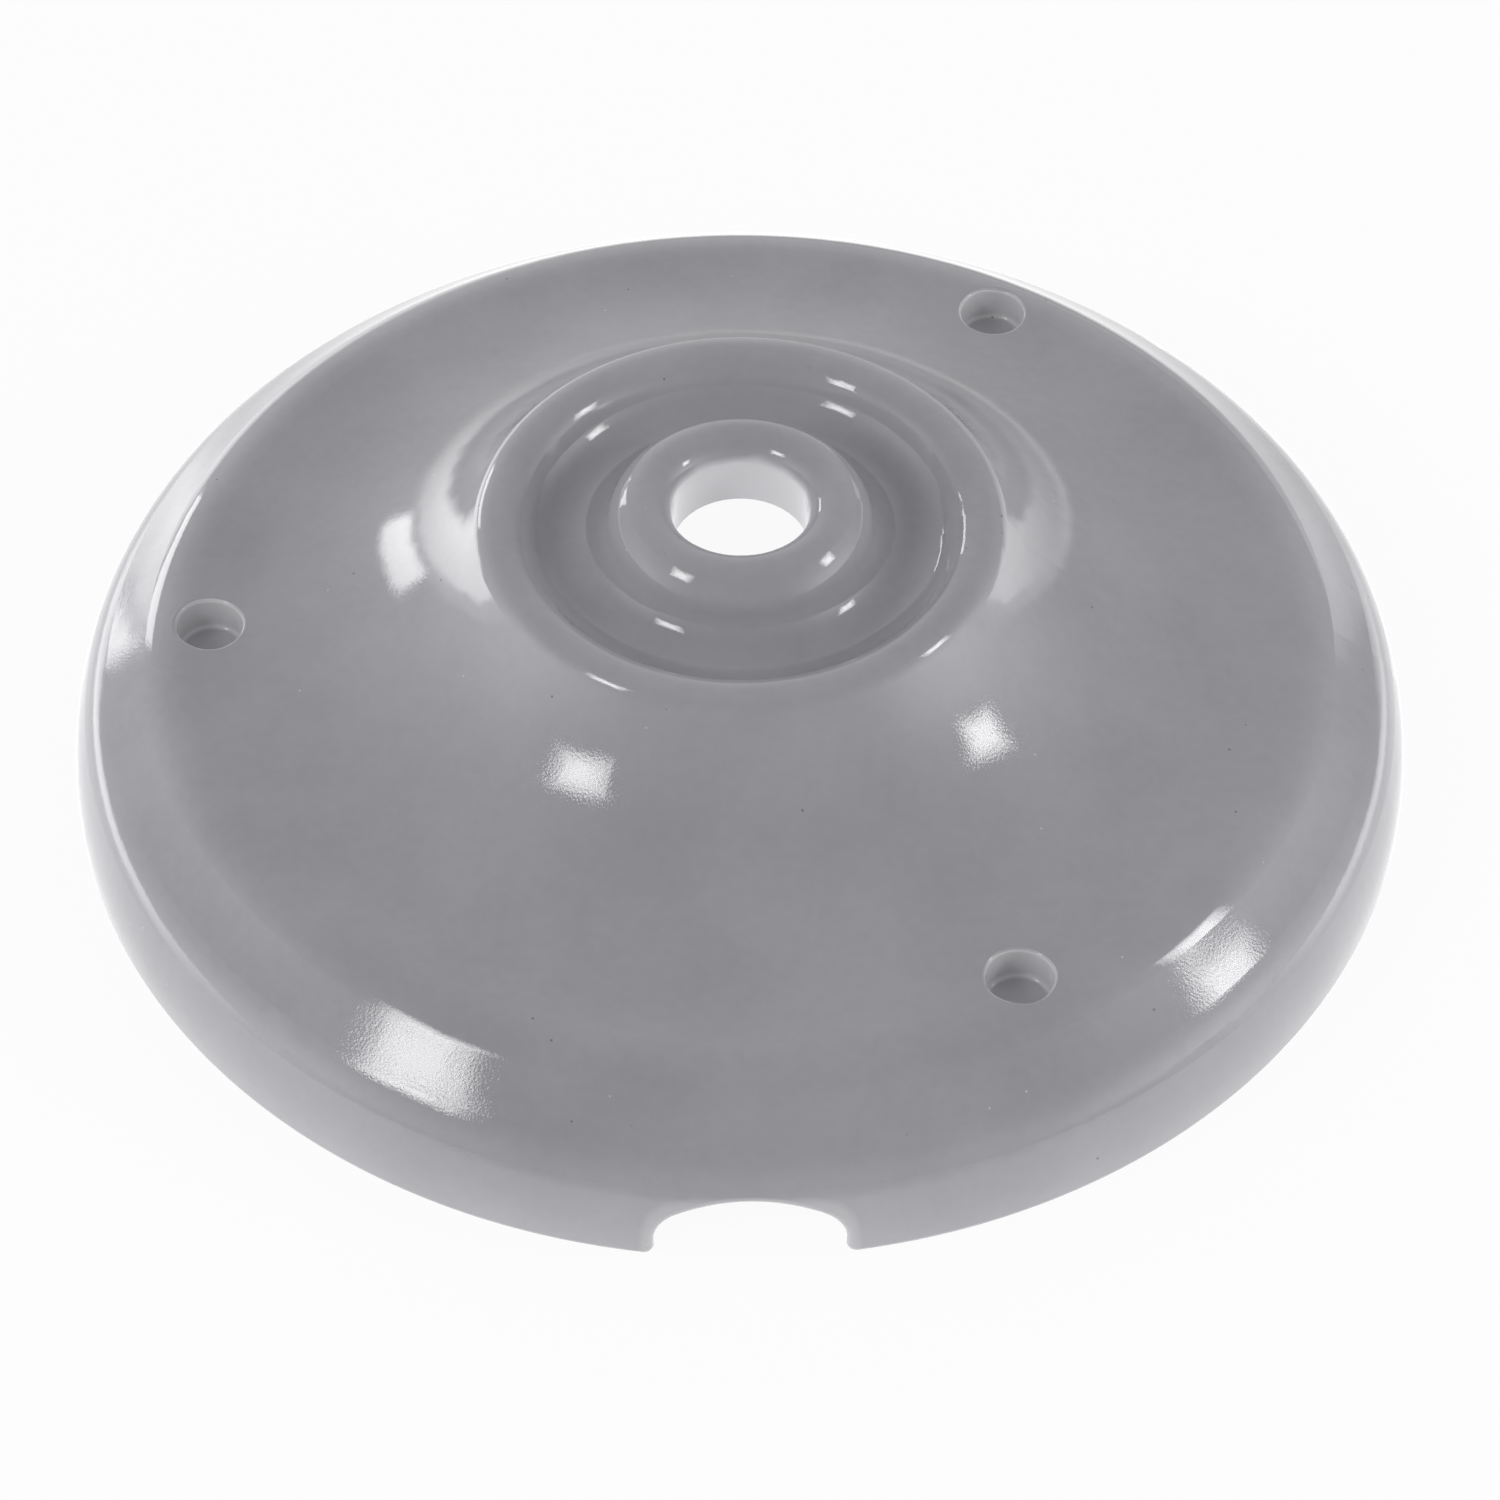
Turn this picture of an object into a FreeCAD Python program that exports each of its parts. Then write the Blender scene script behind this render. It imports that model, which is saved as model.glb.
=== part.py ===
import FreeCAD, Part
import math
import os

import Sketcher

# Ceiling rose: one glazed ceramic shell, resting on its rim with the room side up.
# The origin is the centre of the foot plane, the face that meets the ceiling.
# The cable notch in the rim looks along -Y, and bearings are counted from it towards +X.

SHEET = "sizes"
LABEL = "rose_body"

SIZES = [
    # alias, value in mm, degrees or a count, what it is
    ("rose_diameter", 110.0, "widest diameter, low on the rim"),
    ("waist_height", 1.25, "height of the widest circle over the foot"),
    ("side_rounding", 14.1, "radius of the bulged side wall"),
    ("side_height", 6.8, "height where the side wall passes into the corner"),
    ("corner_rounding", 5.9, "radius from the side wall into the bevel"),
    ("shoulder_inset", 9.85, "from the widest circle in to the shoulder's crest"),
    ("shoulder_height", 13.42, "height of the shoulder's crest over the foot"),
    ("crease_rounding", 5.0, "radius of the shoulder's crest"),
    ("bevel_hollow", 40.0, "radius of the bevel's slight hollow"),
    ("lip_angle", 5.9, "climb of the sweep where it reaches the shoulder"),
    ("ring_rise", 12.93, "raised ring over the shoulder"),
    ("ring_rounding", 2.25, "radius of the ring's crest"),
    ("crater_slope", 57.0, "steepness of the wall from the trough up to the ring"),
    ("trough_depth", 3.62, "trough below the ring's crest"),
    ("trough_rounding", 3.4, "radius of the trough"),
    ("flank_run", 0.55, "level run between the trough's and the boss's curves"),
    ("flank_easing", 1.7, "how much wider the boss's flank curves than its crest"),
    ("boss_rise", 2.0, "boss over the ring's crest"),
    ("boss_rounding", 2.28, "radius of the boss's crest and of the hole's mouth"),
    ("bore_diameter", 11.0, "cord hole, for a cord grip with a 10 mm thread"),
    ("bore_length", 3.7, "straight wall of the cord hole"),
    ("wall_thickness", 4.5, "shell under the sweep, the ring and the trough"),
    ("crown_rounding", 2.0, "radius of the hollow under the ring"),
    ("inner_leg", 2.85, "straight inner side of the rim, up to the hollow's rounding"),
    ("rim_width", 5.0, "foot ring, from the widest circle in"),
    ("edge_rounding", 0.6, "glaze-softened edge round the foot and the notch"),
    ("screw_count", 3, "number of screw places"),
    ("screw_bearing", 29.1, "angle from the notch to the first screw"),
    ("screw_inset", 1.85, "from the shoulder's crest in to a screw's axis"),
    ("screw_diameter", 3.4, "clearance hole for the screw, up through the post"),
    ("skin", 1.0, "unbroken skin between the screw's hole and the pocket for its head"),
    ("head_diameter", 5.4, "pocket for the screw's head"),
    ("seat_depth", 3.25, "floor of the head's pocket, below the shoulder"),
    ("seat_rounding", 0.5, "radius round the pocket's floor"),
    ("mouth_rounding", 0.3, "softened edge of the head's pocket"),
    ("post_diameter", 9.0, "post that carries the screw's load to the ceiling"),
    ("post_recess", 1.0, "gap left between a post and the ceiling"),
    ("post_bite", 1.1, "how far a post's top reaches into the shell"),
    ("post_rounding", 1.0, "radius where a post meets the shell"),
    ("notch_width", 14.8, "width between the legs of the cable notch"),
    ("notch_leg", 1.5, "straight part of the notch's legs"),
    ("haunch_rounding", 3.2, "radius at the notch's upper corners"),
    ("arch_rise", 1.0, "notch's arch over its haunches"),
    ("toe_rounding", 0.8, "rounding where the notch's legs meet the foot"),
]

# How closely a place has to lie on an edge's expected course, in mm
FINE = 0.01

# Names for places in a sketch: an arc's centre, the sketch's origin and its level axis
CENTRE = 3
ORIGIN = (-1, 1)
LEVEL_AXIS = -1

doc = FreeCAD.newDocument("ceiling_rose")
sheet = doc.addObject("Spreadsheet::Sheet", SHEET)
for row, (alias, value, meaning) in enumerate(SIZES, start=1):
    sheet.set("A%d" % row, meaning)
    sheet.set("B%d" % row, str(value))
    sheet.setAlias("B%d" % row, alias)
doc.recompute()


def size(alias):
    return float(sheet.get(alias))


def of_sheet(formula):
    """A formula of aliases and numbers, parted by spaces, as an expression that reads the sheet."""
    words = formula.split(" ")
    return " ".join(SHEET + "." + word if word[0].isalpha() and word != "deg" else word for word in words)


def point(across, up):
    return FreeCAD.Vector(across, up, 0)


def normal(fall):
    """Unit normal of a surface that falls outwards by this angle, in radians."""
    return point(math.sin(fall), math.cos(fall))


def toward(start, end):
    step = end - start
    return step * (1.0 / step.Length)


def centre_between(first, first_reach, second, second_reach):
    """The point at these distances from two centres, to the right of the way from one to the other."""
    span = (second - first).Length
    along = (first_reach ** 2 - second_reach ** 2 + span ** 2) / (2 * span)
    aside = math.sqrt(first_reach ** 2 - along ** 2)
    ahead = toward(first, second)
    return first + ahead * along + point(ahead.y, -ahead.x) * aside


def centre_along(start, direction, centre, reach):
    """The first point of a line that lies at this distance from a centre."""
    offset = start - centre
    half = offset.dot(direction)
    return start - direction * (half + math.sqrt(half ** 2 - offset.dot(offset) + reach ** 2))


class Outline:
    """A closed outline drawn as a chain of lines and arcs and then held by named dimensions."""

    def __init__(self, body, name, plane):
        self.sketch = body.newObject("Sketcher::SketchObject", name)
        self.sketch.AttachmentSupport = [(origin_part(body, plane), "")]
        self.sketch.MapMode = "FlatFace"
        self.ends = {}

    def line(self, start, end, construction=False):
        index = self.sketch.addGeometry(Part.LineSegment(start, end), construction)
        self.ends[index] = (1, 2)
        return index

    def arc(self, centre, start, end):
        begin = math.atan2(start.y - centre.y, start.x - centre.x)
        finish = math.atan2(end.y - centre.y, end.x - centre.x)
        turn = (finish - begin) % (2 * math.pi)
        forward = turn < math.pi
        first, last = (begin, begin + turn) if forward else (finish, finish + 2 * math.pi - turn)
        circle = Part.Circle(centre, FreeCAD.Vector(0, 0, 1), (start - centre).Length)
        index = self.sketch.addGeometry(Part.ArcOfCircle(circle, first, last), False)
        self.ends[index] = (1, 2) if forward else (2, 1)
        return index

    def rule(self, kind, *where):
        return self.sketch.addConstraint(Sketcher.Constraint(kind, *where))

    def join(self, first, second, kind):
        self.rule(kind, first, self.ends[first][1], second, self.ends[second][0])

    def smooth_chain(self, pieces):
        for before, after in zip(pieces, pieces[1:]):
            self.join(before, after, "Tangent")

    def dimension(self, name, kind, where, value, formula):
        index = self.rule(kind, *where, value)
        self.sketch.renameConstraint(index, name)
        self.sketch.setExpression("Constraints." + name, of_sheet(formula))


def origin_part(body, role):
    return next(item for item in body.Origin.OriginFeatures if item.Role == role)


def draw_section(body):
    """The shell's half section: bore, boss, trough, ring, sweep, shoulder, side, foot and underside."""
    bore = size("bore_diameter") / 2
    boss = size("boss_rounding")
    flank = boss + size("flank_easing")
    trough = size("trough_rounding")
    ring = size("ring_rounding")
    crease = size("crease_rounding")
    corner = size("corner_rounding")
    side = size("side_rounding")
    wall = size("wall_thickness")
    crown = size("crown_rounding")
    hollow = size("bevel_hollow")
    lip = math.radians(size("lip_angle"))
    slope = math.radians(size("crater_slope"))
    rose = size("rose_diameter") / 2
    foot = rose - size("rim_width")
    ring_height = size("shoulder_height") + size("ring_rise")

    # Centres of the room side's curves, from the bore outwards
    boss_centre = point(bore + boss, ring_height + size("boss_rise") - boss)
    trough_centre = point(boss_centre.x + boss + size("flank_run") + trough,
                          ring_height - size("trough_depth") + trough)
    curves = trough + ring
    crater_width = (curves + (size("trough_depth") - curves) * math.cos(slope)) / math.sin(slope)
    ring_centre = point(trough_centre.x + crater_width, ring_height - ring)
    crease_centre = point(rose - size("shoulder_inset"), size("shoulder_height") - crease)
    side_centre = point(rose - side, size("waist_height"))
    flank_centre = centre_between(boss_centre, flank - boss, trough_centre, flank + trough)
    dish_end = crease_centre + normal(-lip) * crease
    reach = dish_end - ring_centre
    dish = (reach.dot(reach) - ring ** 2) / (2 * (ring - reach.dot(normal(-lip))))
    dish_centre = dish_end + normal(-lip) * dish
    lean = math.acos((size("side_height") - side_centre.y) / side)
    corner_centre = side_centre + normal(lean) * (side - corner)

    hollow_centre = centre_between(corner_centre, hollow + corner, crease_centre, hollow + crease)

    # Centres of the underside's own curves
    crown_start = trough_centre - normal(-slope) * (trough + wall + crown)
    up_crater = point(math.cos(slope), math.sin(slope))
    crown_centre = centre_along(crown_start, up_crater, dish_centre, dish + wall + crown)
    leg_top = point(foot, size("inner_leg"))
    offset = leg_top - dish_centre
    inner = (offset.dot(offset) - (dish + wall) ** 2) / (2 * (dish + wall + offset.x))
    inner_centre = leg_top - point(inner, 0)

    # Ends of the lines and arcs
    bore_top = point(bore, boss_centre.y)
    bore_bottom = point(bore, boss_centre.y - size("bore_length"))
    boss_end = boss_centre + toward(flank_centre, boss_centre) * boss
    flank_end = flank_centre + toward(flank_centre, trough_centre) * flank
    trough_end = trough_centre - normal(-slope) * trough
    ring_start = ring_centre + normal(-slope) * ring
    ring_end = ring_centre + toward(ring_centre, dish_centre) * ring
    bevel_start = crease_centre + toward(crease_centre, hollow_centre) * crease
    bevel_end = corner_centre + toward(corner_centre, hollow_centre) * corner
    corner_end = side_centre + normal(lean) * side
    foot_outside = point(side_centre.x + math.sqrt(side ** 2 - side_centre.y ** 2), 0)
    foot_inside = point(foot, 0)
    under_dish_start = dish_centre + toward(dish_centre, inner_centre) * (dish + wall)
    under_dish_end = dish_centre + toward(dish_centre, crown_centre) * (dish + wall)
    crown_end = crown_centre + normal(-slope) * crown
    under_trough_start = trough_centre - normal(-slope) * (trough + wall)
    under_trough_reach = math.sqrt((trough + wall) ** 2 - (trough_centre.y - bore_bottom.y) ** 2)
    under_trough_end = point(trough_centre.x - under_trough_reach, bore_bottom.y)

    outline = Outline(body, "section", "XZ_Plane")
    bore_line = outline.line(bore_bottom, bore_top)
    boss_arc = outline.arc(boss_centre, bore_top, boss_end)
    flank_arc = outline.arc(flank_centre, boss_end, flank_end)
    trough_arc = outline.arc(trough_centre, flank_end, trough_end)
    crater_line = outline.line(trough_end, ring_start)
    ring_arc = outline.arc(ring_centre, ring_start, ring_end)
    dish_arc = outline.arc(dish_centre, ring_end, dish_end)
    crease_arc = outline.arc(crease_centre, dish_end, bevel_start)
    bevel_arc = outline.arc(hollow_centre, bevel_start, bevel_end)
    corner_arc = outline.arc(corner_centre, bevel_end, corner_end)
    side_arc = outline.arc(side_centre, corner_end, foot_outside)
    foot_line = outline.line(foot_outside, foot_inside)
    inner_line = outline.line(foot_inside, leg_top)
    inner_arc = outline.arc(inner_centre, leg_top, under_dish_start)
    under_dish_arc = outline.arc(dish_centre, under_dish_start, under_dish_end)
    crown_arc = outline.arc(crown_centre, under_dish_end, crown_end)
    under_crater_line = outline.line(crown_end, under_trough_start)
    under_trough_arc = outline.arc(trough_centre, under_trough_start, under_trough_end)
    under_boss_line = outline.line(under_trough_end, bore_bottom)

    outline.smooth_chain([bore_line, boss_arc, flank_arc, trough_arc, crater_line, ring_arc, dish_arc,
                          crease_arc, bevel_arc, corner_arc, side_arc])
    outline.join(side_arc, foot_line, "Coincident")
    outline.join(foot_line, inner_line, "Coincident")
    outline.smooth_chain([inner_line, inner_arc, under_dish_arc, crown_arc, under_crater_line,
                          under_trough_arc])
    outline.join(under_trough_arc, under_boss_line, "Coincident")
    outline.join(under_boss_line, bore_line, "Coincident")
    outline.rule("Vertical", bore_line)
    outline.rule("Vertical", inner_line)
    outline.rule("Horizontal", foot_line)
    outline.rule("Horizontal", under_boss_line)
    outline.rule("Parallel", crater_line, under_crater_line)
    outline.rule("Coincident", dish_arc, CENTRE, under_dish_arc, CENTRE)
    outline.rule("Coincident", trough_arc, CENTRE, under_trough_arc, CENTRE)
    outline.rule("PointOnObject", foot_line, 1, LEVEL_AXIS)

    for name, arc, value, formula in (
            ("boss_rounding", boss_arc, boss, "boss_rounding"),
            ("flank_rounding", flank_arc, flank, "boss_rounding + flank_easing"),
            ("trough_rounding", trough_arc, trough, "trough_rounding"),
            ("ring_rounding", ring_arc, ring, "ring_rounding"),
            ("crease_rounding", crease_arc, crease, "crease_rounding"),
            ("bevel_hollow", bevel_arc, hollow, "bevel_hollow"),
            ("corner_rounding", corner_arc, corner, "corner_rounding"),
            ("side_rounding", side_arc, side, "side_rounding"),
            ("crown_rounding", crown_arc, crown, "crown_rounding"),
            ("under_trough", under_trough_arc, trough + wall, "trough_rounding + wall_thickness")):
        outline.dimension(name, "Radius", (arc,), value, formula)

    to_trough = "bore_diameter / 2 + 2 * boss_rounding + flank_run + trough_rounding"
    to_ring_top = "shoulder_height + ring_rise"
    for name, kind, where, value, formula in (
            ("bore_across", "DistanceX", (bore_line, 1), bore, "bore_diameter / 2"),
            ("boss_up", "DistanceY", (boss_arc, CENTRE), boss_centre.y,
             to_ring_top + " + boss_rise - boss_rounding"),
            ("trough_across", "DistanceX", (trough_arc, CENTRE), trough_centre.x, to_trough),
            ("trough_up", "DistanceY", (trough_arc, CENTRE), trough_centre.y,
             to_ring_top + " - trough_depth + trough_rounding"),
            ("ring_up", "DistanceY", (ring_arc, CENTRE), ring_centre.y, to_ring_top + " - ring_rounding"),
            ("shoulder_across", "DistanceX", (crease_arc, CENTRE), crease_centre.x,
             "rose_diameter / 2 - shoulder_inset"),
            ("shoulder_up", "DistanceY", (crease_arc, CENTRE), crease_centre.y,
             "shoulder_height - crease_rounding"),
            ("side_across", "DistanceX", (side_arc, CENTRE), side_centre.x,
             "rose_diameter / 2 - side_rounding"),
            ("waist_up", "DistanceY", (side_arc, CENTRE), side_centre.y, "waist_height"),
            ("side_up", "DistanceY", (side_arc, outline.ends[side_arc][0]), corner_end.y, "side_height"),
            ("foot_across", "DistanceX", (foot_line, 2), foot, "rose_diameter / 2 - rim_width"),
            ("leg_up", "DistanceY", (inner_line, 2), leg_top.y, "inner_leg")):
        outline.dimension(name, kind, ORIGIN + where, value, formula)
    outline.dimension("bore_length", "DistanceY", (bore_line, 1, bore_line, 2), size("bore_length"),
                      "bore_length")

    outline.dimension("crater", "Angle", (crater_line,), slope, "crater_slope * 1 deg")

    # The lip is the slope at which the sweep meets the shoulder
    lip_line = outline.line(crease_centre, dish_end, construction=True)
    outline.rule("Coincident", lip_line, 1, crease_arc, CENTRE)
    outline.rule("Coincident", lip_line, 2, crease_arc, outline.ends[crease_arc][0])
    outline.dimension("lip", "Angle", (lip_line,), math.pi / 2 + lip, "( 90 + lip_angle ) * 1 deg")

    # The wall is measured straight down from the lowest point of the sweep
    dish_bottom = point(dish_centre.x, dish_centre.y - dish)
    wall_line = outline.line(dish_bottom, dish_bottom - point(0, wall), construction=True)
    outline.rule("Vertical", wall_line)
    outline.rule("PointOnObject", dish_arc, CENTRE, wall_line)
    outline.rule("PointOnObject", wall_line, 1, dish_arc)
    outline.rule("PointOnObject", wall_line, 2, under_dish_arc)
    outline.dimension("wall", "Distance", (wall_line,), wall, "wall_thickness")
    return outline.sketch


def draw_screw_mark(body, name, height, diameter):
    """A circle at the first screw place, on a level plane."""
    outline = Outline(body, name, "XY_Plane")
    outline.sketch.setExpression("AttachmentOffset.Base.z", of_sheet(height))
    bearing = math.radians(size("screw_bearing") - 90)
    reach = size("rose_diameter") / 2 - size("shoulder_inset") - size("screw_inset")
    centre = point(math.cos(bearing), math.sin(bearing)) * reach
    radius = size(diameter) / 2
    arm = outline.line(point(0, 0), centre, construction=True)
    circle = Part.Circle(centre, FreeCAD.Vector(0, 0, 1), radius)
    mark = outline.sketch.addGeometry(circle, False)
    outline.rule("Coincident", arm, 1, *ORIGIN)
    outline.rule("Coincident", mark, CENTRE, arm, 2)
    outline.dimension("reach", "Distance", (arm,), reach, "rose_diameter / 2 - shoulder_inset - screw_inset")
    outline.dimension("bearing", "Angle", (arm,), bearing, "( screw_bearing - 90 ) * 1 deg")
    outline.dimension("radius", "Radius", (mark,), radius, diameter + " / 2")
    return outline.sketch


def draw_notch(body):
    """The cable notch: two short legs under a flattened arch."""
    half = size("notch_width") / 2
    leg = size("notch_leg")
    haunch = size("haunch_rounding")
    rise = haunch + size("arch_rise")
    arch = ((half - haunch) ** 2 + rise ** 2 - haunch ** 2) / (2 * size("arch_rise"))
    arch_centre = point(0, leg + rise - arch)
    left_centre = point(haunch - half, leg)
    right_centre = point(half - haunch, leg)
    left_top = arch_centre + toward(arch_centre, left_centre) * arch
    right_top = arch_centre + toward(arch_centre, right_centre) * arch

    outline = Outline(body, "notch_outline", "XZ_Plane")
    left_leg = outline.line(point(-half, 0), point(-half, leg))
    left_haunch = outline.arc(left_centre, point(-half, leg), left_top)
    arch_arc = outline.arc(arch_centre, left_top, right_top)
    right_haunch = outline.arc(right_centre, right_top, point(half, leg))
    right_leg = outline.line(point(half, leg), point(half, 0))
    base = outline.line(point(half, 0), point(-half, 0))

    outline.smooth_chain([left_leg, left_haunch, arch_arc, right_haunch, right_leg])
    outline.join(right_leg, base, "Coincident")
    outline.join(base, left_leg, "Coincident")
    outline.rule("Symmetric", base, 1, base, 2, *ORIGIN)
    outline.rule("Horizontal", base)
    outline.rule("Vertical", left_leg)
    outline.rule("Vertical", right_leg)
    outline.rule("Equal", left_leg, right_leg)
    outline.rule("Equal", left_haunch, right_haunch)
    outline.dimension("width", "Distance", (base,), 2 * half, "notch_width")
    outline.dimension("leg", "Distance", (left_leg,), leg, "notch_leg")
    outline.dimension("haunch", "Radius", (left_haunch,), haunch, "haunch_rounding")
    outline.dimension("arch", "Radius", (arch_arc,), arch,
                      "( ( notch_width / 2 - haunch_rounding ) ^ 2 + ( haunch_rounding + arch_rise ) ^ 2 "
                      "- haunch_rounding ^ 2 ) / ( 2 * arch_rise )")
    return outline.sketch


def revolve_shell(body):
    section = draw_section(body)
    doc.recompute()
    shell = body.newObject("PartDesign::Revolution", "shell")
    shell.Profile = section
    shell.ReferenceAxis = (section, ["V_Axis"])
    shell.Angle = 360
    doc.recompute()


def add_screw_places(body):
    """A post under the shell, a pocket for a screw's head and a hole up the post, repeated round the rose.

    The pocket is cut from the height of the ring down, so that it opens wherever the sweep is.
    The hole stops under the pocket's floor and leaves a skin there, to be broken out for a screw.
    """
    post_mark = draw_screw_mark(body, "post_mark", "post_recess", "post_diameter")
    post = body.newObject("PartDesign::Pad", "post")
    post.Profile = post_mark
    post.setExpression("Length", of_sheet("shoulder_height - wall_thickness + post_bite - post_recess"))
    doc.recompute()

    head_mark = draw_screw_mark(body, "head_mark", "shoulder_height + ring_rise", "head_diameter")
    head = body.newObject("PartDesign::Pocket", "head_pocket")
    head.Profile = head_mark
    head.setExpression("Length", of_sheet("ring_rise + seat_depth"))
    doc.recompute()

    hole_mark = draw_screw_mark(body, "hole_mark", "post_recess", "screw_diameter")
    hole = body.newObject("PartDesign::Pocket", "screw_hole")
    hole.Profile = hole_mark
    hole.Reversed = True
    hole.setExpression("Length", of_sheet("shoulder_height - seat_depth - skin - post_recess"))
    doc.recompute()

    places = body.newObject("PartDesign::PolarPattern", "screw_places")
    places.Originals = [post, head, hole]
    places.Axis = (origin_part(body, "Z_Axis"), [""])
    places.Angle = 360
    places.setExpression("Occurrences", of_sheet("screw_count"))
    body.Tip = places
    doc.recompute()


def cut_notch(body):
    """Cut the notch through the front of the rim, from the middle plane outwards."""
    outline = draw_notch(body)
    notch = body.newObject("PartDesign::Pocket", "cable_notch")
    notch.Profile = outline
    notch.Reversed = True
    notch.setExpression("Length", of_sheet("rose_diameter"))
    doc.recompute()


def soften(body, name, radius, belongs):
    """Round those edges of the body so far that pass a test, as the glaze does."""
    base = body.Tip
    chosen = ["Edge%d" % number for number, edge in enumerate(base.Shape.Edges, start=1) if belongs(edge)]
    fillet = body.newObject("PartDesign::Fillet", name)
    fillet.Base = (base, chosen)
    fillet.setExpression("Radius", of_sheet(radius))
    doc.recompute()


def along(edge, count=5):
    """Points spread along an edge, its ends included."""
    first, last = edge.ParameterRange
    return [edge.valueAt(first + (last - first) * step / (count - 1)) for step in range(count)]


def from_axis(place):
    return math.hypot(place.x, place.y)


def from_screw(place):
    """Distance from the nearest screw's axis."""
    reach = size("rose_diameter") / 2 - size("shoulder_inset") - size("screw_inset")
    turn = 2 * math.pi / size("screw_count")
    bearing = math.atan2(place.x, -place.y) - math.radians(size("screw_bearing"))
    past = (bearing + turn / 2) % turn - turn / 2
    return math.hypot(from_axis(place) * math.cos(past) - reach, from_axis(place) * math.sin(past))


def is_pocket_mouth(edge):
    """The edge where a screw head's pocket opens on the room side."""
    seat = size("shoulder_height") - size("seat_depth")
    head = size("head_diameter") / 2
    return all(place.z > seat + FINE and from_screw(place) < head + FINE for place in along(edge))


def is_pocket_floor(edge):
    """The edge round the floor of a screw head's pocket."""
    seat = size("shoulder_height") - size("seat_depth")
    head = size("head_diameter") / 2
    return all(abs(place.z - seat) < FINE and abs(from_screw(place) - head) < FINE for place in along(edge))


def is_post_root(edge):
    """The edge where a post meets the shell's underside."""
    post = size("post_diameter") / 2
    return all(place.z > size("post_recess") + FINE and abs(from_screw(place) - post) < FINE
               for place in along(edge)) and abs(along(edge)[0].z - along(edge)[-1].z) < post


def is_toe(edge):
    """The corner where a leg of the notch meets the foot plane."""
    half = size("notch_width") / 2
    return all(abs(abs(place.x) - half) < FINE and place.z < FINE and place.y < 0 for place in along(edge))


def is_on_rim(edge):
    """An edge round the foot or the notch, on the outer or the inner side of the rim."""
    middle = (size("rose_diameter") - size("rim_width")) / 2
    half = size("notch_width") / 2 + size("toe_rounding") + FINE
    top = size("notch_leg") + size("haunch_rounding") + size("arch_rise") + FINE
    places = along(edge)
    on_one_side = len({from_axis(place) > middle for place in places}) == 1
    in_notch = all(abs(place.x) < half and place.y < 0 and place.z < top for place in places)
    return on_one_side and (in_notch or all(place.z < FINE for place in places))


body = doc.addObject("PartDesign::Body", LABEL)
body.Label = LABEL
revolve_shell(body)
add_screw_places(body)
soften(body, "post_roots", "post_rounding", is_post_root)
soften(body, "softened_mouths", "mouth_rounding", is_pocket_mouth)
soften(body, "softened_floors", "seat_rounding", is_pocket_floor)
cut_notch(body)
soften(body, "rounded_toes", "toe_rounding", is_toe)
soften(body, "softened_rim", "edge_rounding", is_on_rim)
body.Placement = FreeCAD.Placement()
doc.recompute()

failed = [item.Name for item in doc.Objects if "Invalid" in item.State or "Error" in item.State]
if failed:
    raise RuntimeError("failed features: " + ", ".join(failed))
if body.Shape.isNull() or not body.Shape.isValid() or len(body.Shape.Solids) != 1:
    raise RuntimeError("the shell is not one valid solid")

os.makedirs("parts", exist_ok=True)
body.Shape.exportStep("parts/" + body.Label + ".step")
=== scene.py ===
import math

import bpy
from bpy.props import FloatProperty, FloatVectorProperty, PointerProperty
from mathutils import Matrix, Vector

bl_info = {
    "name": "Ceiling Rose",
    "version": (1, 0, 0),
    "blender": (4, 5, 0),
    "location": "3D View > Sidebar > Ceiling Rose",
    "description": "Glazes a ceramic ceiling rose and stands it in a plain studio",
    "category": "Object",
}

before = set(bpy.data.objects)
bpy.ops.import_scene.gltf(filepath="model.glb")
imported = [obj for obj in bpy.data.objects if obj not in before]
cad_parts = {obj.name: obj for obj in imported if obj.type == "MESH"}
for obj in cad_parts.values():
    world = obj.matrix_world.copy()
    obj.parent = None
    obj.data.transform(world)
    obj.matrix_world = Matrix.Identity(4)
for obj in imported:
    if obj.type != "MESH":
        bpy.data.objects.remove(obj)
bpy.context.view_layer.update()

BODY = "rose_body"
WHITE = (1.0, 1.0, 1.0, 1.0)
PIT = (0.06, 0.06, 0.07, 1.0)

# Soft borders on the rose, in metres: where a look isn't there yet, and where it is full.
# From the axis of the cord hole:
# Border of the painted light on the cord hole's wall:
CORD_HOLE = (0.0095, 0.0090)
BOSS_AND_RING = (0.025, 0.021)
SHOULDER_INSIDE = (0.0445, 0.0462)
SHOULDER_OUTSIDE = (0.0492, 0.0480)
# From the axis of a pocket, for the painted highlight on its lip and the painted light on its wall and
# floor:
LIP_INSIDE = (0.00270, 0.00276)
LIP_OUTSIDE = (0.00294, 0.00286)
POCKET_WALL = (0.00280, 0.00272)
POCKET_FLOOR = (0.00262, 0.00235)
# Over the foot:
# Heights that bound the painted light in the cord hole and in the pockets:
CORD_HOLE_LEVEL = (0.0273, 0.0263)
POCKET_LEVEL = (0.0085, 0.0090)
FOOT_LEVEL = 0.00006
# Outwards from the middle of the cable notch's foot, where the notch's own edge is 1:
NOTCH_BAND = (1.26, 1.05)
# The notch's band of painted reflection ends at this Y, so the back of the rose has none.
NOTCH_FRONT = -0.045
# How far a wall's normal points up, for the painted light on steep walls:
STEEP = (0.85, 0.35)

# Share of the painted light, where 1 is as pale as it gets.
STEEP_SHARE = 0.16
NOTCH_SHARE = 0.42
LIP_GLINT_SHARES = (0.15, 0.7)
POCKET_FLOOR_SHARE = 0.4

# Size of the cells that may each hold one dot, the share of them that doesn't, and each dot's strength.
SPECK_CELL = 0.0015
PLAIN_CELLS = 0.95
PINHOLE_SHARE = 0.75
SPECK_SHARE = 0.5

# Soft borders on the floor, in metres from the rose's middle, and what is left of a glow past its border.
NEAR_FLOOR = (0.075, 0.095)
WIDE_FLOOR = (0.33, 0.27)
DIMMED = 0.3

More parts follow.
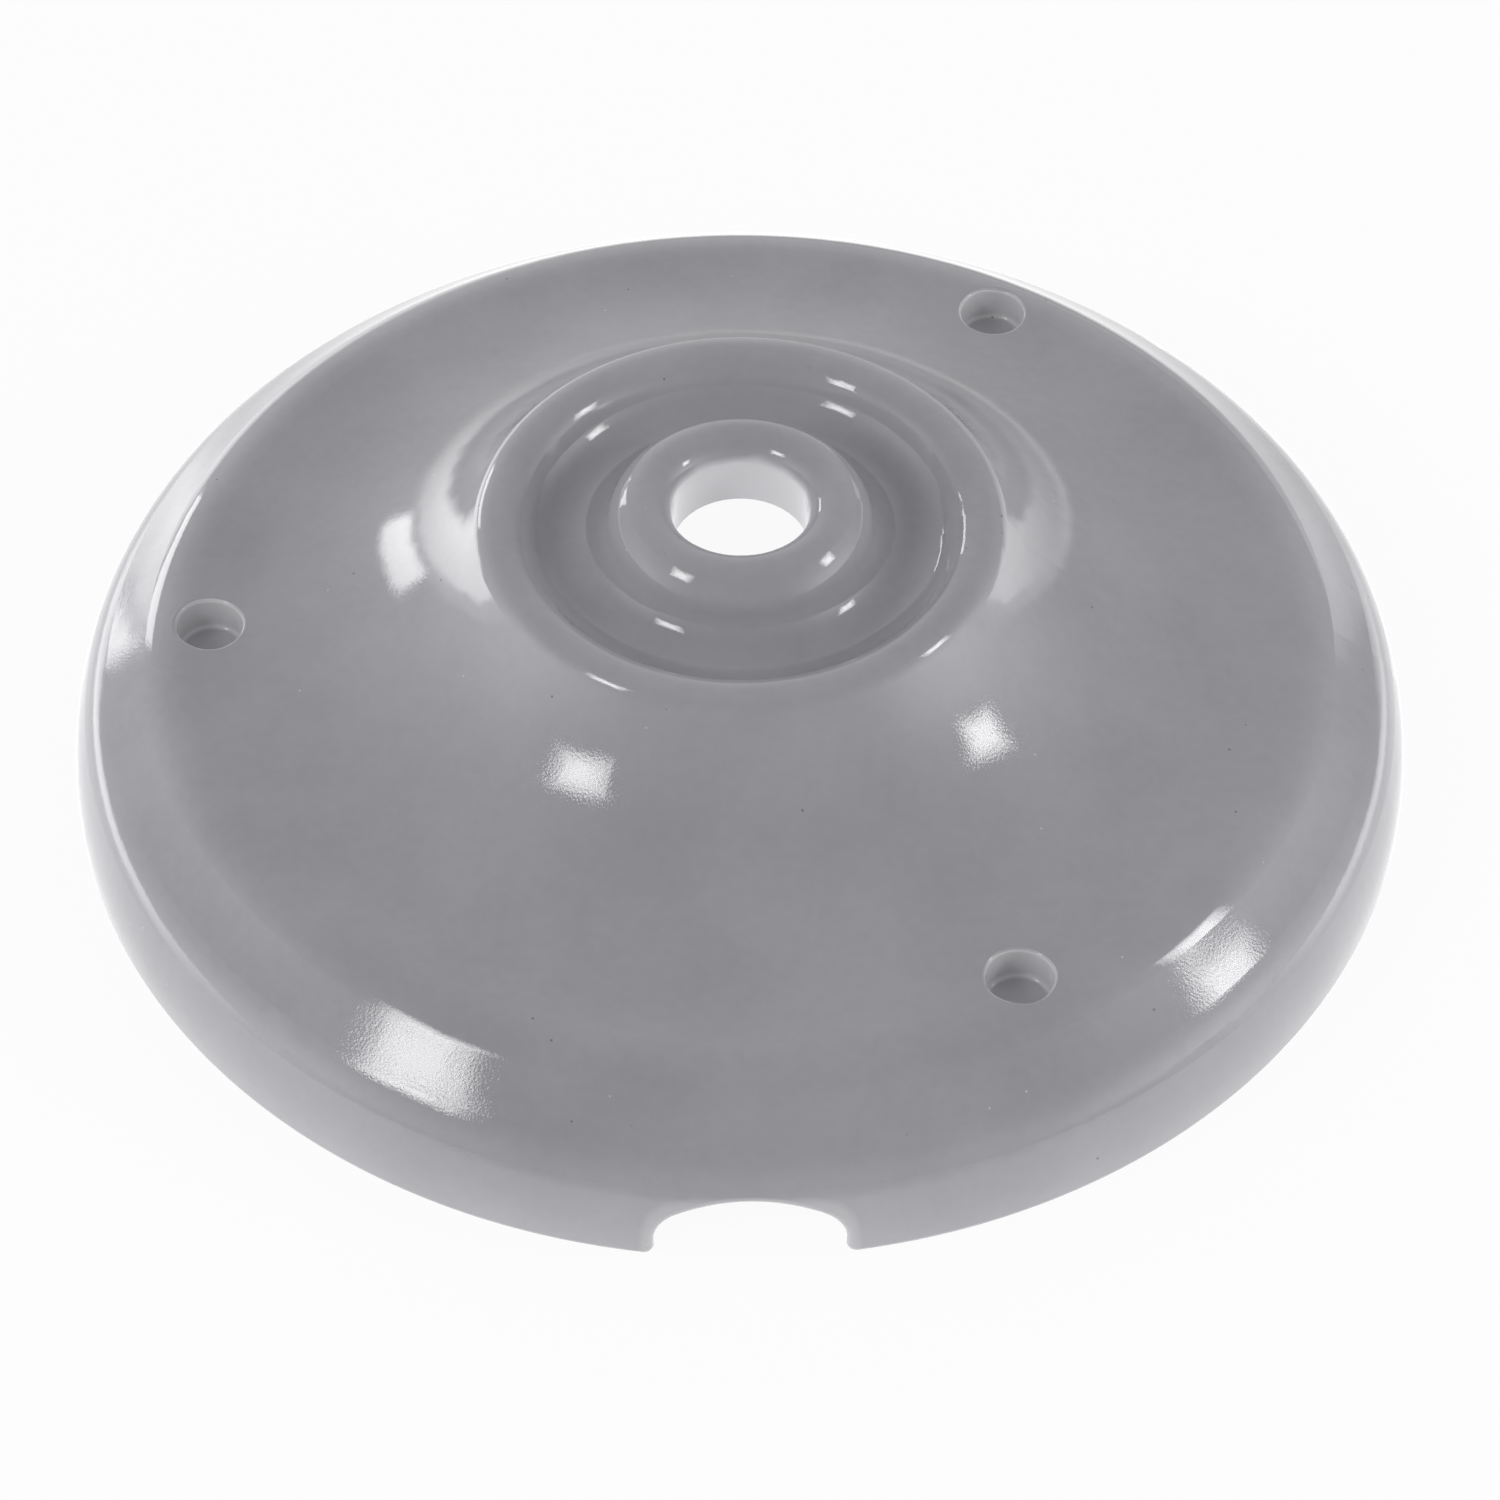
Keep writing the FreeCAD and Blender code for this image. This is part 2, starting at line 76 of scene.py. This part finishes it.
# A soft lamp's faces, each as its share of the lamp's size and of its light, and the gap between them.
LAMP_FACES = ((1.08, 0.34), (0.84, 0.33), (0.54, 0.33))
FACE_GAP = 0.001


class Graph:
    """A material's or world's node tree, with short ways to add and to link."""

    def __init__(self, owner):
        owner.use_nodes = True
        self.tree = owner.node_tree
        self.tree.nodes.clear()

    def add(self, kind, values=None, **settings):
        """A new node; a value is a number, a colour or another node's socket."""
        node = self.tree.nodes.new(kind)
        for name, value in settings.items():
            setattr(node, name, value)
        for name, value in (values or {}).items():
            socket = node.inputs[name]
            if isinstance(value, bpy.types.NodeSocket):
                self.tree.links.new(value, socket)
            else:
                socket.default_value = value
        return node

    def math(self, operation, first, second=0.0, third=0.0):
        return self.add("ShaderNodeMath", {0: first, 1: second, 2: third}, operation=operation).outputs[0]

    def vector(self, operation, first, second=(0.0, 0.0, 0.0)):
        return self.add("ShaderNodeVectorMath", {0: first, 1: second}, operation=operation)

    def spread(self, value, low, high, to_low=0.0, to_high=1.0):
        """The value moved from one range to another, and held inside it."""
        ends = {"Value": value, "From Min": low, "From Max": high, "To Min": to_low, "To Max": to_high}
        return self.add("ShaderNodeMapRange", ends).outputs["Result"]

    def step(self, value, low, high):
        """0 at low and 1 at high, with soft ends; low may be the greater one."""
        flip = low > high
        ends = {"Value": value, "From Min": min(low, high), "From Max": max(low, high),
                "To Min": float(flip), "To Max": float(not flip)}
        return self.add("ShaderNodeMapRange", ends, interpolation_type="SMOOTHSTEP").outputs["Result"]

    def length(self, place, centre=(0.0, 0.0)):
        """Distance from an upright line through the centre."""
        offset = self.vector("SUBTRACT", place, (*centre, 0.0)).outputs[0]
        flat = self.vector("MULTIPLY", offset, (1.0, 1.0, 0.0)).outputs[0]
        return self.vector("LENGTH", flat).outputs["Value"]

    def noise(self, place, size, detail):
        values = {"Vector": place, "Scale": 1.0 / size, "Detail": detail}
        return self.add("ShaderNodeTexNoise", values).outputs["Fac"]

    def glow(self, way, towards, sharpness, strength):
        """A soft round glow, at its full strength where the way points towards its middle."""
        along = self.vector("DOT_PRODUCT", way, towards).outputs["Value"]
        fall = self.math("EXPONENT", self.math("MULTIPLY_ADD", along, sharpness, -sharpness))
        return self.math("MULTIPLY", fall, strength)

    def total(self, first, *others):
        for value in others:
            first = self.math("ADD", first, value)
        return first

    def mix(self, share, first, second):
        """The first number at share 0 and the second at share 1."""
        return self.add("ShaderNodeMix", {0: share, 2: first, 3: second}).outputs[0]

    def blend(self, share, first, second):
        """The first colour at share 0 and the second at share 1."""
        return self.add("ShaderNodeMix", {0: share, 6: first, 7: second}, data_type="RGBA").outputs[2]


def solid(colour):
    return (*colour, 1.0)


def direction(azimuth, elevation):
    """A unit vector from two angles in degrees."""
    azimuth, elevation = math.radians(azimuth), math.radians(elevation)
    return Vector((math.cos(elevation) * math.cos(azimuth), math.cos(elevation) * math.sin(azimuth),
                   math.sin(elevation)))


class GlazeSettings(bpy.types.PropertyGroup):
    colour: FloatVectorProperty(
        name="Glaze Colour", description="Colour of the thick glaze", subtype="COLOR", size=3,
        min=0.0, max=1.0, default=(0.288, 0.283, 0.305))
    # Pale colour of the painted light in the cord hole, pockets, steep walls and notch edge, and of the
    # real pale specks.
    pale_light_and_speck: FloatVectorProperty(
        name="Pale Light And Specks", description="Colour where the glaze runs thin over the pale body",
        subtype="COLOR", size=3, min=0.0, max=1.0, default=(0.60, 0.595, 0.615))
    bisque: FloatVectorProperty(
        name="Bare Clay", description="Colour of the unglazed foot", subtype="COLOR", size=3,
        min=0.0, max=1.0, default=(0.62, 0.60, 0.57))
    roughness: FloatProperty(
        name="Roughness", description="Roughness of the fired glaze", min=0.0, max=1.0, default=0.06)
    foot_roughness: FloatProperty(
        name="Foot Roughness", description="Roughness of the unglazed foot", min=0.0, max=1.0,
        default=0.75)
    clouds: FloatProperty(
        name="Clouds", description="Size of the faint clouds of colour", unit="LENGTH", default=0.014)
    cloud_depth: FloatProperty(
        name="Cloud Depth", description="Share by which the clouds lighten and darken the glaze",
        default=0.055)
    flecks: FloatProperty(
        name="Flecks", description="Size of the small flecks of colour", unit="LENGTH", default=0.0010)
    fleck_depth: FloatProperty(
        name="Fleck Depth", description="Share by which the flecks lighten and darken the glaze",
        default=0.02)
    grain: FloatProperty(
        name="Grain", description="Size of the glaze's fine grain", unit="LENGTH", default=0.00021)
    grain_height: FloatProperty(
        name="Grain Height", description="Height of the fine grain on the open faces", unit="LENGTH",
        default=0.0000068)
    smooth: FloatProperty(
        name="Smooth Curves", description="Share of the grain that is left on tight curves",
        min=0.0, max=1.0, default=0.3)
    ripple: FloatProperty(
        name="Ripple", description="Size of the glaze's slow ripples", unit="LENGTH", default=0.0045)
    ripple_height: FloatProperty(
        name="Ripple Height", description="Height of the slow ripples", unit="LENGTH", default=0.00003)
    # Drift is also how far the edge of the painted light in the cord hole wanders.
    drift: FloatProperty(
        name="Drift", description="How far the edge of the thin glaze in the cord hole wanders",
        unit="LENGTH", default=0.00022)
    pinhole: FloatProperty(
        name="Pinhole", description="Radius of the pinholes and pale specks", unit="LENGTH",
        default=0.00014)
    pocket_circle: FloatProperty(
        name="Pocket Circle", description="Radius of the circle that the screw pockets stand on",
        unit="LENGTH", default=0.0433)
    pocket_bearing: FloatProperty(
        name="Pocket Bearing", description="First pocket's turn from the cable notch", subtype="ANGLE",
        default=math.radians(29.1))
    notch_reach: FloatProperty(
        name="Notch Reach", description="Half the width of the cable notch", unit="LENGTH",
        default=0.0074)
    notch_height: FloatProperty(
        name="Notch Height", description="Height of the cable notch", unit="LENGTH", default=0.0056)


class StageSettings(bpy.types.PropertyGroup):
    floor: FloatVectorProperty(
        name="Floor", description="Colour of the floor", subtype="COLOR", size=3,
        min=0.0, max=1.0, default=(0.86, 0.86, 0.86))
    lit: FloatProperty(
        name="Floor Glow", description="Share of the floor that is lit from within", min=0.0, max=1.0,
        default=0.92)
    near: FloatProperty(name="Floor Near", description="Light of the floor round the rose", default=1.4)
    left: FloatProperty(name="Floor Left", description="Light of the floor's left side", default=4.6)
    right: FloatProperty(name="Floor Right", description="Light of the floor's right side", default=3.6)
    far: FloatProperty(name="Floor Far", description="Light of the floor's far left side", default=1.9)
    behind: FloatProperty(
        name="Floor Behind", description="Light of the floor behind the rose", default=1.14)
    rest: FloatProperty(name="Floor Rest", description="Light of the rest of the floor", default=0.2)
    key: FloatProperty(name="Key Lamp", description="Brightness of the left lamp's face", default=13.0)
    second: FloatProperty(
        name="Second Lamp", description="Brightness of the right lamp's face", default=13.5)
    rim: FloatProperty(name="Rim Lamp", description="Brightness of the far lamp's face", default=5.0)
    horizon: FloatProperty(name="Horizon", description="Light from all round", default=0.25)
    overhead: FloatProperty(
        name="Overhead", description="Light that comes from above as well", default=0.28)
    left_wall: FloatProperty(
        name="Left Wall", description="Light of the soft wall on the left", default=1.463)
    right_wall: FloatProperty(
        name="Right Wall", description="Light of the soft wall on the right", default=2.394)
    back: FloatProperty(name="Back Wall", description="Light of the soft wall at the back", default=0.7)
    distance: FloatProperty(
        name="Camera Distance", description="From the foot's centre to the camera", unit="LENGTH",
        default=0.48125)
    elevation: FloatProperty(
        name="Camera Elevation", description="Camera's height over the floor, as an angle",
        subtype="ANGLE", default=math.radians(47.236))
    bearing: FloatProperty(
        name="Camera Bearing", description="Camera's turn about the cord hole, from the notch",
        subtype="ANGLE", default=math.radians(-0.93))
    roll: FloatProperty(
        name="Camera Roll", description="Camera's tilt about its own line of sight", subtype="ANGLE",
        default=math.radians(0.2427))
    lens: FloatProperty(
        name="Focal Length", description="For a sensor 36 mm wide", unit="CAMERA", default=138.64)
    aim: FloatVectorProperty(
        name="Aim", description="Point of the foot plane in the middle of the view, before the bearing",
        subtype="TRANSLATION", size=3, default=(0.000839, -0.001625, 0.0))


def pocket_centres(settings):
    reach = settings.pocket_circle
    first = settings.pocket_bearing - math.pi / 2
    turns = [first + math.tau * index / 3 for index in range(3)]
    return [(reach * math.cos(turn), reach * math.sin(turn)) for turn in turns]


def notch_edge(graph, place, settings):
    """A soft band outside the cable notch, where a painted reflection of the floor goes; its outline is
    close to a square with very round corners.
    """
    parts = graph.add("ShaderNodeSeparateXYZ", {"Vector": place})
    side = graph.math("ABSOLUTE", parts.outputs["X"])
    across = graph.math("POWER", graph.math("MULTIPLY", side, 1.0 / settings.notch_reach), 4.0)
    up = graph.math("POWER", graph.math("MULTIPLY", parts.outputs["Z"], 1.0 / settings.notch_height), 4.0)
    ring = graph.math("POWER", graph.math("ADD", across, up), 0.25)
    front = graph.math("LESS_THAN", parts.outputs["Y"], NOTCH_FRONT)
    return graph.math("MULTIPLY", front, graph.step(ring, *NOTCH_BAND))


def pocket(graph, place, height, drift, centre):
    """Painted light on a pocket's wall, less of it on the floor, and an uneven painted highlight on the
    lip round the mouth.
    """
    away = graph.length(place, centre)
    # Painted highlight: an uneven pale line round the pocket's mouth.
    lip_glint = graph.math("MULTIPLY", graph.step(away, *LIP_INSIDE), graph.step(away, *LIP_OUTSIDE))
    lip_glint = graph.math("MULTIPLY", lip_glint, graph.spread(drift, 0.4, 0.6, *LIP_GLINT_SHARES))
    # Painted light on the pocket's wall, weaker on its floor, where shade falls.
    floor = graph.step(away, *POCKET_FLOOR)
    wall = graph.step(away, *POCKET_WALL)
    inside = graph.math("MULTIPLY_ADD", floor, POCKET_FLOOR_SHARE - 1.0, wall)
    return graph.math("MULTIPLY", graph.math("MAXIMUM", lip_glint, inside), graph.step(height, *POCKET_LEVEL))


def painted_light_places(graph, place, height, drift, settings):
    """Painted light: where the cord hole, the pockets, steep walls and the notch's edge are painted paler,
    with a painted highlight on the pocket lips and a painted reflection at the notch.
    """
    level = graph.math("ADD", height, graph.spread(drift, 0.3, 0.7, -settings.drift, settings.drift))
    # Painted light: the cord hole's wall is painted pale, as if lit from below.
    hole = graph.math("MULTIPLY", graph.step(graph.length(place), *CORD_HOLE),
                      graph.step(level, *CORD_HOLE_LEVEL))
    normal = graph.add("ShaderNodeTexCoord").outputs["Normal"]
    upright = graph.add("ShaderNodeSeparateXYZ", {"Vector": normal}).outputs["Z"]
    # Painted light on steep walls, and a painted reflection of the floor in the band round the notch.
    places = [graph.math("MULTIPLY", graph.step(upright, *STEEP), STEEP_SHARE),
              graph.math("MULTIPLY", notch_edge(graph, place, settings), NOTCH_SHARE)]
    # Painted light inside each pocket, with its painted lip highlight.
    places += [pocket(graph, place, height, drift, centre) for centre in pocket_centres(settings)]
    pale_light_and_speck = hole
    for share in places:
        pale_light_and_speck = graph.math("MAXIMUM", pale_light_and_speck, share)
    return pale_light_and_speck


def specks(graph, place, settings):
    """Sparse round dots: how much of a dark pinhole, and of a pale speck, each point has."""
    cells = graph.add("ShaderNodeTexVoronoi", {"Vector": place, "Scale": 1.0 / SPECK_CELL})
    edge = settings.pinhole / SPECK_CELL
    dot = graph.step(cells.outputs["Distance"], edge, 0.4 * edge)
    share = graph.add("ShaderNodeSeparateColor", {"Color": cells.outputs["Color"]})
    dark = graph.math("MULTIPLY", dot, graph.math("GREATER_THAN", share.outputs["Red"], PLAIN_CELLS))
    pale = graph.math("MULTIPLY", dot, graph.math("GREATER_THAN", share.outputs["Green"], PLAIN_CELLS))
    return dark, pale


def glaze_relief(graph, place, drift, settings):
    """Height of the slow ripples and the fine grain, which is weaker on boss, ring and shoulder."""
    away = graph.length(place)
    shoulder = graph.math("MULTIPLY", graph.step(away, *SHOULDER_INSIDE),
                          graph.step(away, *SHOULDER_OUTSIDE))
    tight = graph.math("MAXIMUM", graph.step(away, *BOSS_AND_RING), shoulder)
    full = settings.grain_height
    grain_height = graph.spread(tight, 0.0, 1.0, full, settings.smooth * full)
    grain = graph.math("MULTIPLY", graph.noise(place, settings.grain, 1.0), grain_height)
    return graph.math("MULTIPLY_ADD", drift, settings.ripple_height, grain)


def glaze_material(settings):
    """Thick grey glaze with clouds, grain, pinholes, pale specks and a bare foot; the cord hole, pockets,
    steep walls and notch edge are painted paler as painted light, and the pocket lips carry a painted
    highlight.
    """
    material = bpy.data.materials.new("grey_glaze")
    graph = Graph(material)
    place = graph.add("ShaderNodeTexCoord").outputs["Object"]
    height = graph.add("ShaderNodeSeparateXYZ", {"Vector": place}).outputs["Z"]

    clouds = graph.noise(place, settings.clouds, 3.0)
    flecks = graph.noise(place, settings.flecks, 1.0)
    drift = graph.noise(place, settings.ripple, 1.0)
    shade = graph.total(
        graph.spread(clouds, 0.35, 0.65, -settings.cloud_depth, settings.cloud_depth),
        graph.spread(flecks, 0.3, 0.7, -settings.fleck_depth, settings.fleck_depth), 1.0)
    shaded = {0: settings.colour, "Scale": shade}
    colour = graph.add("ShaderNodeVectorMath", shaded, operation="SCALE").outputs[0]
    # Painted light: paler in the cord hole, pockets, steep walls and notch edge.
    colour = graph.blend(painted_light_places(graph, place, height, drift, settings), colour, solid(settings.pale_light_and_speck))
    dark, pale = specks(graph, place, settings)
    colour = graph.blend(graph.math("MULTIPLY", dark, PINHOLE_SHARE), colour, PIT)
    colour = graph.blend(graph.math("MULTIPLY", pale, SPECK_SHARE), colour, solid(settings.pale_light_and_speck))

    foot = graph.math("LESS_THAN", height, FOOT_LEVEL)
    colour = graph.blend(foot, colour, solid(settings.bisque))
    roughness = graph.spread(foot, 0.0, 1.0, settings.roughness, settings.foot_roughness)
    relief = glaze_relief(graph, place, drift, settings)
    bump = graph.add("ShaderNodeBump", {"Height": relief, "Strength": 1.0, "Distance": 1.0})
    shader = graph.add("ShaderNodeBsdfPrincipled", {
        "Base Color": colour, "Roughness": roughness, "IOR": 1.5, "Normal": bump.outputs["Normal"]})
    graph.add("ShaderNodeOutputMaterial", {"Surface": shader.outputs["BSDF"]})
    return material


def floor_light(graph, place, settings):
    """Light of the table's pattern: even near the rose, with soft glows at the sides and behind."""
    away = graph.length(place)
    way = graph.vector("NORMALIZE", place).outputs[0]
    inner = graph.step(away, *WIDE_FLOOR)
    sides = graph.total(
        graph.glow(way, direction(azimuth=175, elevation=0), sharpness=8.0, strength=settings.left),
        graph.glow(way, direction(azimuth=5, elevation=0), sharpness=8.0, strength=settings.right),
        graph.glow(way, direction(azimuth=135, elevation=0), sharpness=8.0, strength=settings.far))
    sides = graph.math("MULTIPLY", sides, graph.mix(inner, DIMMED, 1.0))
    behind = graph.glow(way, direction(azimuth=70, elevation=0), sharpness=3.0, strength=settings.behind)
    behind = graph.math("MULTIPLY", behind, graph.mix(inner, 1.0, DIMMED))
    outer = graph.total(sides, behind, settings.rest)
    return graph.mix(graph.step(away, *NEAR_FLOOR), settings.near, outer)


def floor_material(settings):
    """A white table, lit from within and brighter at its sides, that still takes a faint shadow.

    From below it is clear, so that the rose's hollow can be looked at too.
    """
    material = bpy.data.materials.new("white_floor")
    graph = Graph(material)
    light = floor_light(graph, graph.add("ShaderNodeTexCoord").outputs["Object"], settings)
    rays = graph.add("ShaderNodeLightPath")
    seen = graph.math("MAXIMUM", rays.outputs["Is Camera Ray"], rays.outputs["Is Transmission Ray"])
    paper = graph.add("ShaderNodeBsdfDiffuse", {"Color": solid(settings.floor)}).outputs[0]
    strength = graph.mix(seen, light, 1.0)
    glow = graph.add("ShaderNodeEmission", {"Color": WHITE, "Strength": strength}).outputs[0]
    mixed = graph.add("ShaderNodeMixShader", {0: settings.lit, 1: paper, 2: glow}).outputs[0]
    under = graph.add("ShaderNodeNewGeometry").outputs["Backfacing"]
    clear = graph.add("ShaderNodeBsdfTransparent").outputs[0]
    mixed = graph.add("ShaderNodeMixShader", {0: under, 1: mixed, 2: clear}).outputs[0]
    graph.add("ShaderNodeOutputMaterial", {"Surface": mixed})
    return material


def light_world(settings):
    """White to the camera; otherwise a dim studio with soft bright walls at the sides and the back."""
    world = bpy.data.worlds.new("studio")
    bpy.context.scene.world = world
    graph = Graph(world)
    way = graph.add("ShaderNodeTexCoord").outputs["Generated"]
    height = graph.add("ShaderNodeSeparateXYZ", {"Vector": way}).outputs["Z"]
    light = graph.total(
        graph.spread(height, 0.0, 0.35, settings.horizon, settings.horizon + settings.overhead),
        graph.glow(way, direction(azimuth=192, elevation=2), sharpness=7.0, strength=settings.left_wall),
        graph.glow(way, direction(azimuth=-12, elevation=2), sharpness=9.0, strength=settings.right_wall),
        graph.glow(way, direction(azimuth=100, elevation=8), sharpness=5.0, strength=settings.back))
    seen = graph.add("ShaderNodeLightPath").outputs["Is Camera Ray"]
    strength = graph.mix(seen, light, 1.0)
    background = graph.add("ShaderNodeBackground", {"Color": WHITE, "Strength": strength})
    graph.add("ShaderNodeOutputWorld", {"Surface": background.outputs[0]})


def add_lamp(name, towards, distance, width, height, brightness, turn=0.0):
    """A soft lamp that faces the rose; brightness is that of its face, with white as 1."""
    bpy.ops.object.light_add(type="AREA", location=towards * distance)
    lamp = bpy.context.object
    lamp.name = name
    facing = towards.to_track_quat("Z", "Y").to_matrix()
    lamp.rotation_euler = (facing @ Matrix.Rotation(math.radians(turn), 3, "Z")).to_euler()
    lamp.data.shape = "RECTANGLE"
    lamp.data.size = width
    lamp.data.size_y = height
    lamp.data.energy = brightness * math.pi * width * height


def add_soft_lamp(name, towards, distance, width, height, brightness, turn):
    """A lamp with a brighter middle: a wide dim face, and two smaller ones just in front of it."""
    for index, (size, share) in enumerate(LAMP_FACES):
        add_lamp(f"{name}_{index}", towards, distance - FACE_GAP * index, width * size, height * size,
                 brightness * share, turn)


def add_camera(settings):
    """The camera, on a ray from the foot's centre, looking at the aim."""
    turn = Matrix.Rotation(settings.bearing, 3, "Z")
    stand = turn @ Vector((0.0, -math.cos(settings.elevation), math.sin(settings.elevation)))
    stand *= settings.distance
    bpy.ops.object.camera_add(location=stand)
    camera = bpy.context.object
    camera.name = "camera"
    look = (turn @ Vector(settings.aim) - stand).to_track_quat("-Z", "Y").to_matrix()
    camera.rotation_euler = (look @ Matrix.Rotation(settings.roll, 3, "Z")).to_euler()
    camera.data.sensor_width = 36.0
    camera.data.lens = settings.lens
    return camera


class ROSE_OT_glaze(bpy.types.Operator):
    """Give the cast body its grey glaze"""

    bl_idname = "rose.glaze"
    bl_label = "Glaze the Rose"

    def execute(self, context):
        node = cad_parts[BODY]
        material = glaze_material(context.scene.rose_glaze)
        for slot in node.material_slots:
            slot.material = material
        return {"FINISHED"}


class ROSE_OT_stage(bpy.types.Operator):
    """Add the floor, the lamps, the world and the camera"""

    bl_idname = "rose.stage"
    bl_label = "Set the Stage"

    def execute(self, context):
        settings = context.scene.rose_stage
        bpy.ops.object.select_all(action="DESELECT")
        # The floor lies a tenth of a millimetre under the foot, so that the two never share a plane.
        bpy.ops.mesh.primitive_plane_add(size=12.0, location=(0.0, 0.0, -0.0001))
        floor = context.object
        floor.name = "floor"
        floor.data.materials.append(floor_material(settings))

        light_world(settings)
        add_soft_lamp("key", direction(azimuth=-145.4, elevation=38.4), distance=0.606,
                      width=0.160, height=0.136, brightness=settings.key, turn=10.0)
        add_soft_lamp("second", direction(azimuth=-9.5, elevation=32.0), distance=0.32,
                      width=0.057, height=0.070, brightness=settings.second, turn=-10.0)
        add_lamp("rim", direction(azimuth=129.7, elevation=5.1), distance=1.52,
                 width=0.44, height=0.29, brightness=settings.rim)
        context.scene.camera = add_camera(settings)
        context.scene.view_settings.view_transform = "Standard"
        return {"FINISHED"}


class ROSE_PT_panel(bpy.types.Panel):
    """Lists the steps and their sizes"""

    bl_idname = "ROSE_PT_panel"
    bl_label = "Ceiling Rose"
    bl_space_type = "VIEW_3D"
    bl_region_type = "UI"
    bl_category = "Ceiling Rose"

    def draw(self, context):
        for operator, settings in ((ROSE_OT_glaze, context.scene.rose_glaze),
                                   (ROSE_OT_stage, context.scene.rose_stage)):
            box = self.layout.box()
            for name in settings.__annotations__:
                box.prop(settings, name)
            box.operator(operator.bl_idname)


CLASSES = (GlazeSettings, StageSettings, ROSE_OT_glaze, ROSE_OT_stage, ROSE_PT_panel)


def register():
    for item in CLASSES:
        bpy.utils.register_class(item)
    bpy.types.Scene.rose_glaze = PointerProperty(type=GlazeSettings)
    bpy.types.Scene.rose_stage = PointerProperty(type=StageSettings)


def unregister():
    del bpy.types.Scene.rose_stage
    del bpy.types.Scene.rose_glaze
    for item in reversed(CLASSES):
        bpy.utils.unregister_class(item)


def main():
    register()
    bpy.ops.rose.glaze()
    bpy.ops.rose.stage()


if __name__ == "__main__":
    main()
